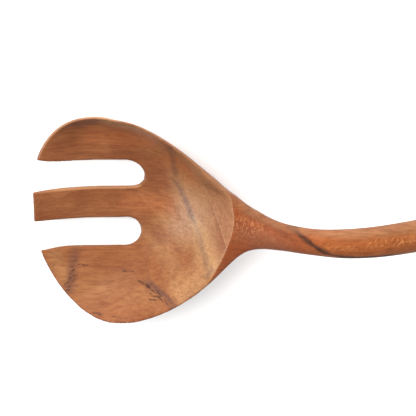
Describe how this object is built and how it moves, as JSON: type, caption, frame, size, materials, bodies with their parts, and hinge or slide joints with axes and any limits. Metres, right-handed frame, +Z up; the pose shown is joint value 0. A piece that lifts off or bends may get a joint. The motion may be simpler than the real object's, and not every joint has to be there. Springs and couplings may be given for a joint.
{
  "type": "wooden serving fork",
  "caption": "One-piece carved wooden serving fork: a wide dished head cut into tines by slots, a flared neck with a crisp crease, and a slender arched handle.",
  "frame": {"origin": "on the table plane, under the middle of the fork's length and width, with the fork lying on its underside", "axes": "+X runs from the tine tips to the handle's end, +Y across the head, +Z up out of the dish"},
  "size_m": [0.3, 0.082, 0.038],
  "materials": {
    "oiled_wood": "satin, oiled, open fine grain along the length"
  },
  "bodies": {
    "root": {"serving_fork": "oiled_wood"}
  },
  "joints": []
}
